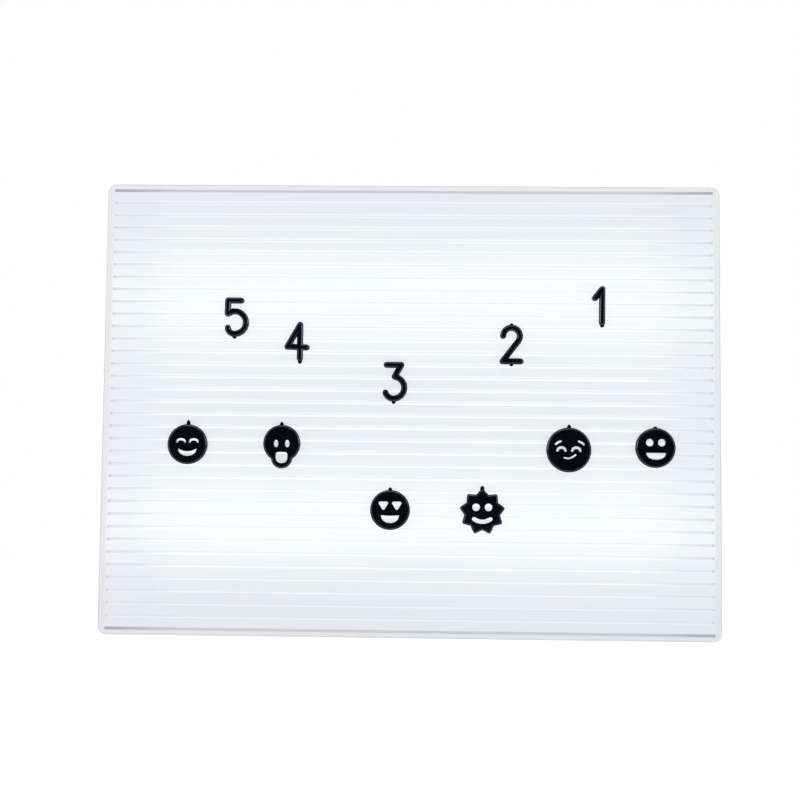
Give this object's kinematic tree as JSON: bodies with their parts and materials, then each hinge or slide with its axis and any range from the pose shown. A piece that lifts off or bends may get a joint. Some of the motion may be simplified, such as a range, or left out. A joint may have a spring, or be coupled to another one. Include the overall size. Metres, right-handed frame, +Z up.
{
  "type": "letter light box",
  "caption": "Flat upright light box with a grooved opal front panel that holds push-in digits and round faces, with a battery bay and switch at the back.",
  "frame": {"origin": "middle of the flat underside that the box stands on, halfway through its depth", "axes": "+Z up; -Y out of the lit front, +Y out of the back; +X to the right seen from the front"},
  "size_m": [0.3, 0.0447, 0.22],
  "materials": {
    "opal_white": "translucent opal moulding, lit from behind",
    "housing_white": "fine satin moulded white",
    "gloss_black": "glossy moulded black",
    "board_white": "white coated board",
    "board_green": "green coated board",
    "led_cream": "white lamp body with a filled well, lit",
    "steel": "bright plated steel",
    "cell_sleeve": "plain dark printed sleeve",
    "wire_red": "smooth insulation",
    "wire_black": "smooth insulation"
  },
  "bodies": {
    "light_box": {"letter_panel": "opal_white", "rear_housing": "housing_white", "control_board": "board_green", "switch_body": "steel", "charging_socket": "steel", "cell_1": "cell_sleeve", "cell_2": "cell_sleeve", "cell_3": "cell_sleeve", "contact_spring_1": "steel", "contact_spring_2": "steel", "contact_spring_3": "steel", "contact_lower_link": "steel", "contact_lower_end": "steel", "contact_upper_end": "steel", "contact_upper_link": "steel", "housing_screw_1": "steel", "housing_screw_2": "steel", "housing_screw_3": "steel", "housing_screw_4": "steel", "housing_screw_5": "steel", "housing_screw_6": "steel", "board_screw_1": "steel", "board_screw_2": "steel", "light_strip_lower": "board_white", "light_strip_upper": "board_white", "led_lower_1": "led_cream", "led_lower_2": "led_cream", "led_lower_3": "led_cream", "led_lower_4": "led_cream", "led_lower_5": "led_cream", "led_lower_6": "led_cream", "led_lower_7": "led_cream", "led_upper_1": "led_cream", "led_upper_2": "led_cream", "led_upper_3": "led_cream", "led_upper_4": "led_cream", "led_upper_5": "led_cream", "led_upper_6": "led_cream", "led_upper_7": "led_cream", "wire_battery_red": "wire_red", "wire_battery_black": "wire_black", "wire_lower_red": "wire_red", "wire_lower_black": "wire_black", "wire_upper_red": "wire_red", "wire_upper_black": "wire_black", "digit_1": "gloss_black", "digit_2": "gloss_black", "digit_3": "gloss_black", "digit_4": "gloss_black", "digit_5": "gloss_black", "face_laughing": "gloss_black", "face_shocked": "gloss_black", "face_heart_eyes": "gloss_black", "face_sun": "gloss_black", "face_smirking": "gloss_black", "face_grinning": "gloss_black"},
    "battery_door": {"battery_door": "housing_white"},
    "switch_knob": {"switch_knob": "gloss_black"}
  },
  "joints": [
    {"name": "battery_door_hinge", "type": "hinge", "parent": "light_box", "child": "battery_door", "pos_m": [0, 0.021, 0.0794], "axis": [-1, 0, 0], "range_deg": [0, 45]},
    {"name": "switch_slide", "type": "slide", "parent": "light_box", "child": "switch_knob", "axis": [1, 0, 0], "range_m": [-0.003, 0]}
  ]
}
